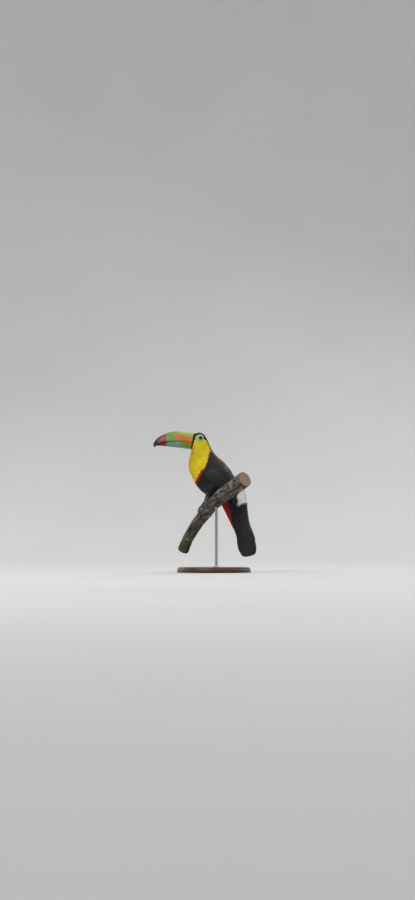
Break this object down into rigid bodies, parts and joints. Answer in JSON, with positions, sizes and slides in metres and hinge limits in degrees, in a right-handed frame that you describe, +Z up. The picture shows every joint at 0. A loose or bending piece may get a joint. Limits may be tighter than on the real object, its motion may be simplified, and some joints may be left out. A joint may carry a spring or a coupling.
{
  "type": "keel-billed toucan",
  "caption": "Life-size still model of a keel-billed toucan gripping a cut length of branch, which a rod holds over a round flat base.",
  "frame": {"origin": "centre of the display base's flat underside, at floor level", "axes": "+Z up; the toucan's bill points towards -Y and its left side faces +X; the branch rises towards +X and +Y"},
  "size_m": [0.3065, 0.3152, 0.4293],
  "materials": {
    "feather_black": "black plumage with a faint maroon gloss, satin",
    "feather_yellow": "bright yellow plumage, soft and matt",
    "bill": "green keratin with an orange side, a blue patch and dark red tips, satin gloss",
    "eye": "wet gloss, dark pupil in an olive iris",
    "leg": "blue scaly skin, dull",
    "claw": "dark horn, semi-gloss",
    "bark": "rough grey-brown bark, matt",
    "stand_wood": "dark stained wood, satin varnish",
    "stand_metal": "brushed"
  },
  "bodies": {
    "root": {"head": "feather_black", "neck": "feather_yellow", "trunk": "feather_black", "tail": "feather_black", "bill_upper": "bill", "bill_lower": "bill", "eye_left": "eye", "eye_right": "eye", "wing_left": "feather_black", "wing_right": "feather_black", "thigh_left": "feather_black", "thigh_right": "feather_black", "shank_left": "leg", "shank_right": "leg", "foot_left": "leg", "foot_right": "leg", "claw_left_1": "claw", "claw_left_2": "claw", "claw_left_3": "claw", "claw_left_4": "claw", "claw_right_1": "claw", "claw_right_2": "claw", "claw_right_3": "claw", "claw_right_4": "claw", "perch": "bark", "stand_base": "stand_wood", "stand_rod": "stand_metal"}
  },
  "joints": []
}
